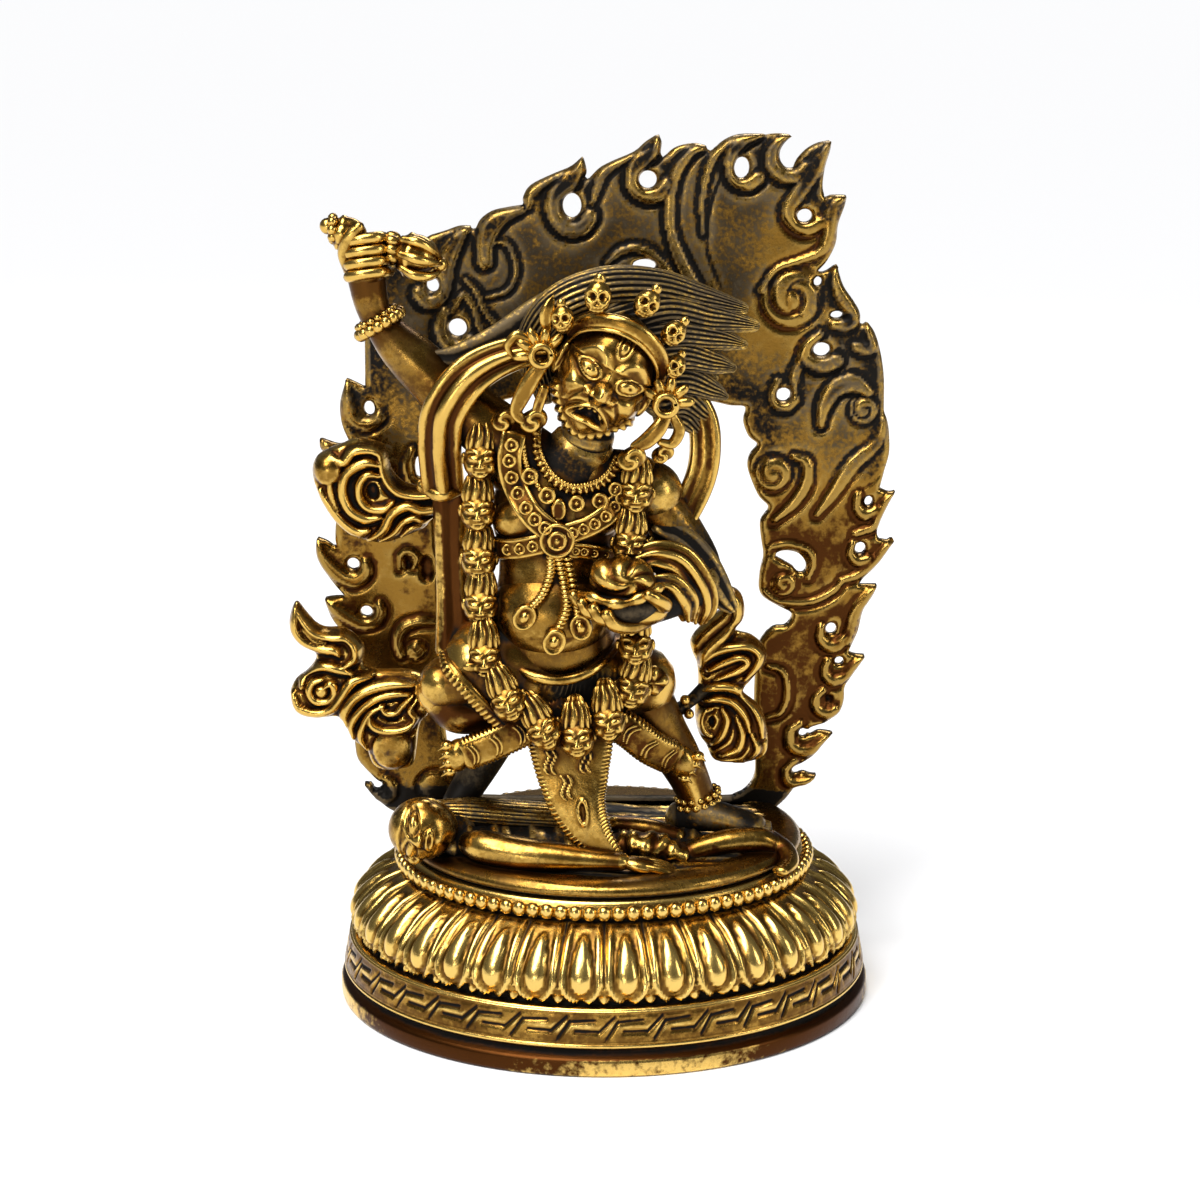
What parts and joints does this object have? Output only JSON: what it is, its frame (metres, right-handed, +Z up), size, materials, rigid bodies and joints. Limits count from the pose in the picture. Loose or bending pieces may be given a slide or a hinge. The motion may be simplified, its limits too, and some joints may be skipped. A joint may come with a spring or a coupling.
{
  "type": "vajrapani statue",
  "caption": "Gilt cast figure of a wrathful guardian deity striding over a fallen foe, on an oval lotus base with a standing ring of flames.",
  "frame": {"origin": "middle of the lotus base's flat underside", "axes": "+Z up, -Y towards the viewer the deity faces, +X to that viewer's right"},
  "size_m": [0.1482, 0.1118, 0.2066],
  "materials": {
    "gilt_base": "worn fire gilding over dark red-brown copper, brown and black in the recesses",
    "gilt_figure": "worn fire gilding, bright on the high parts, black in the recesses, grey-brown on the hair",
    "gilt_flames": "worn fire gilding with a grey-brown patina over the upper half"
  },
  "bodies": {
    "root": {"lotus_base": "gilt_base", "deity_figure": "gilt_figure", "flame_aureole": "gilt_flames"}
  },
  "joints": []
}
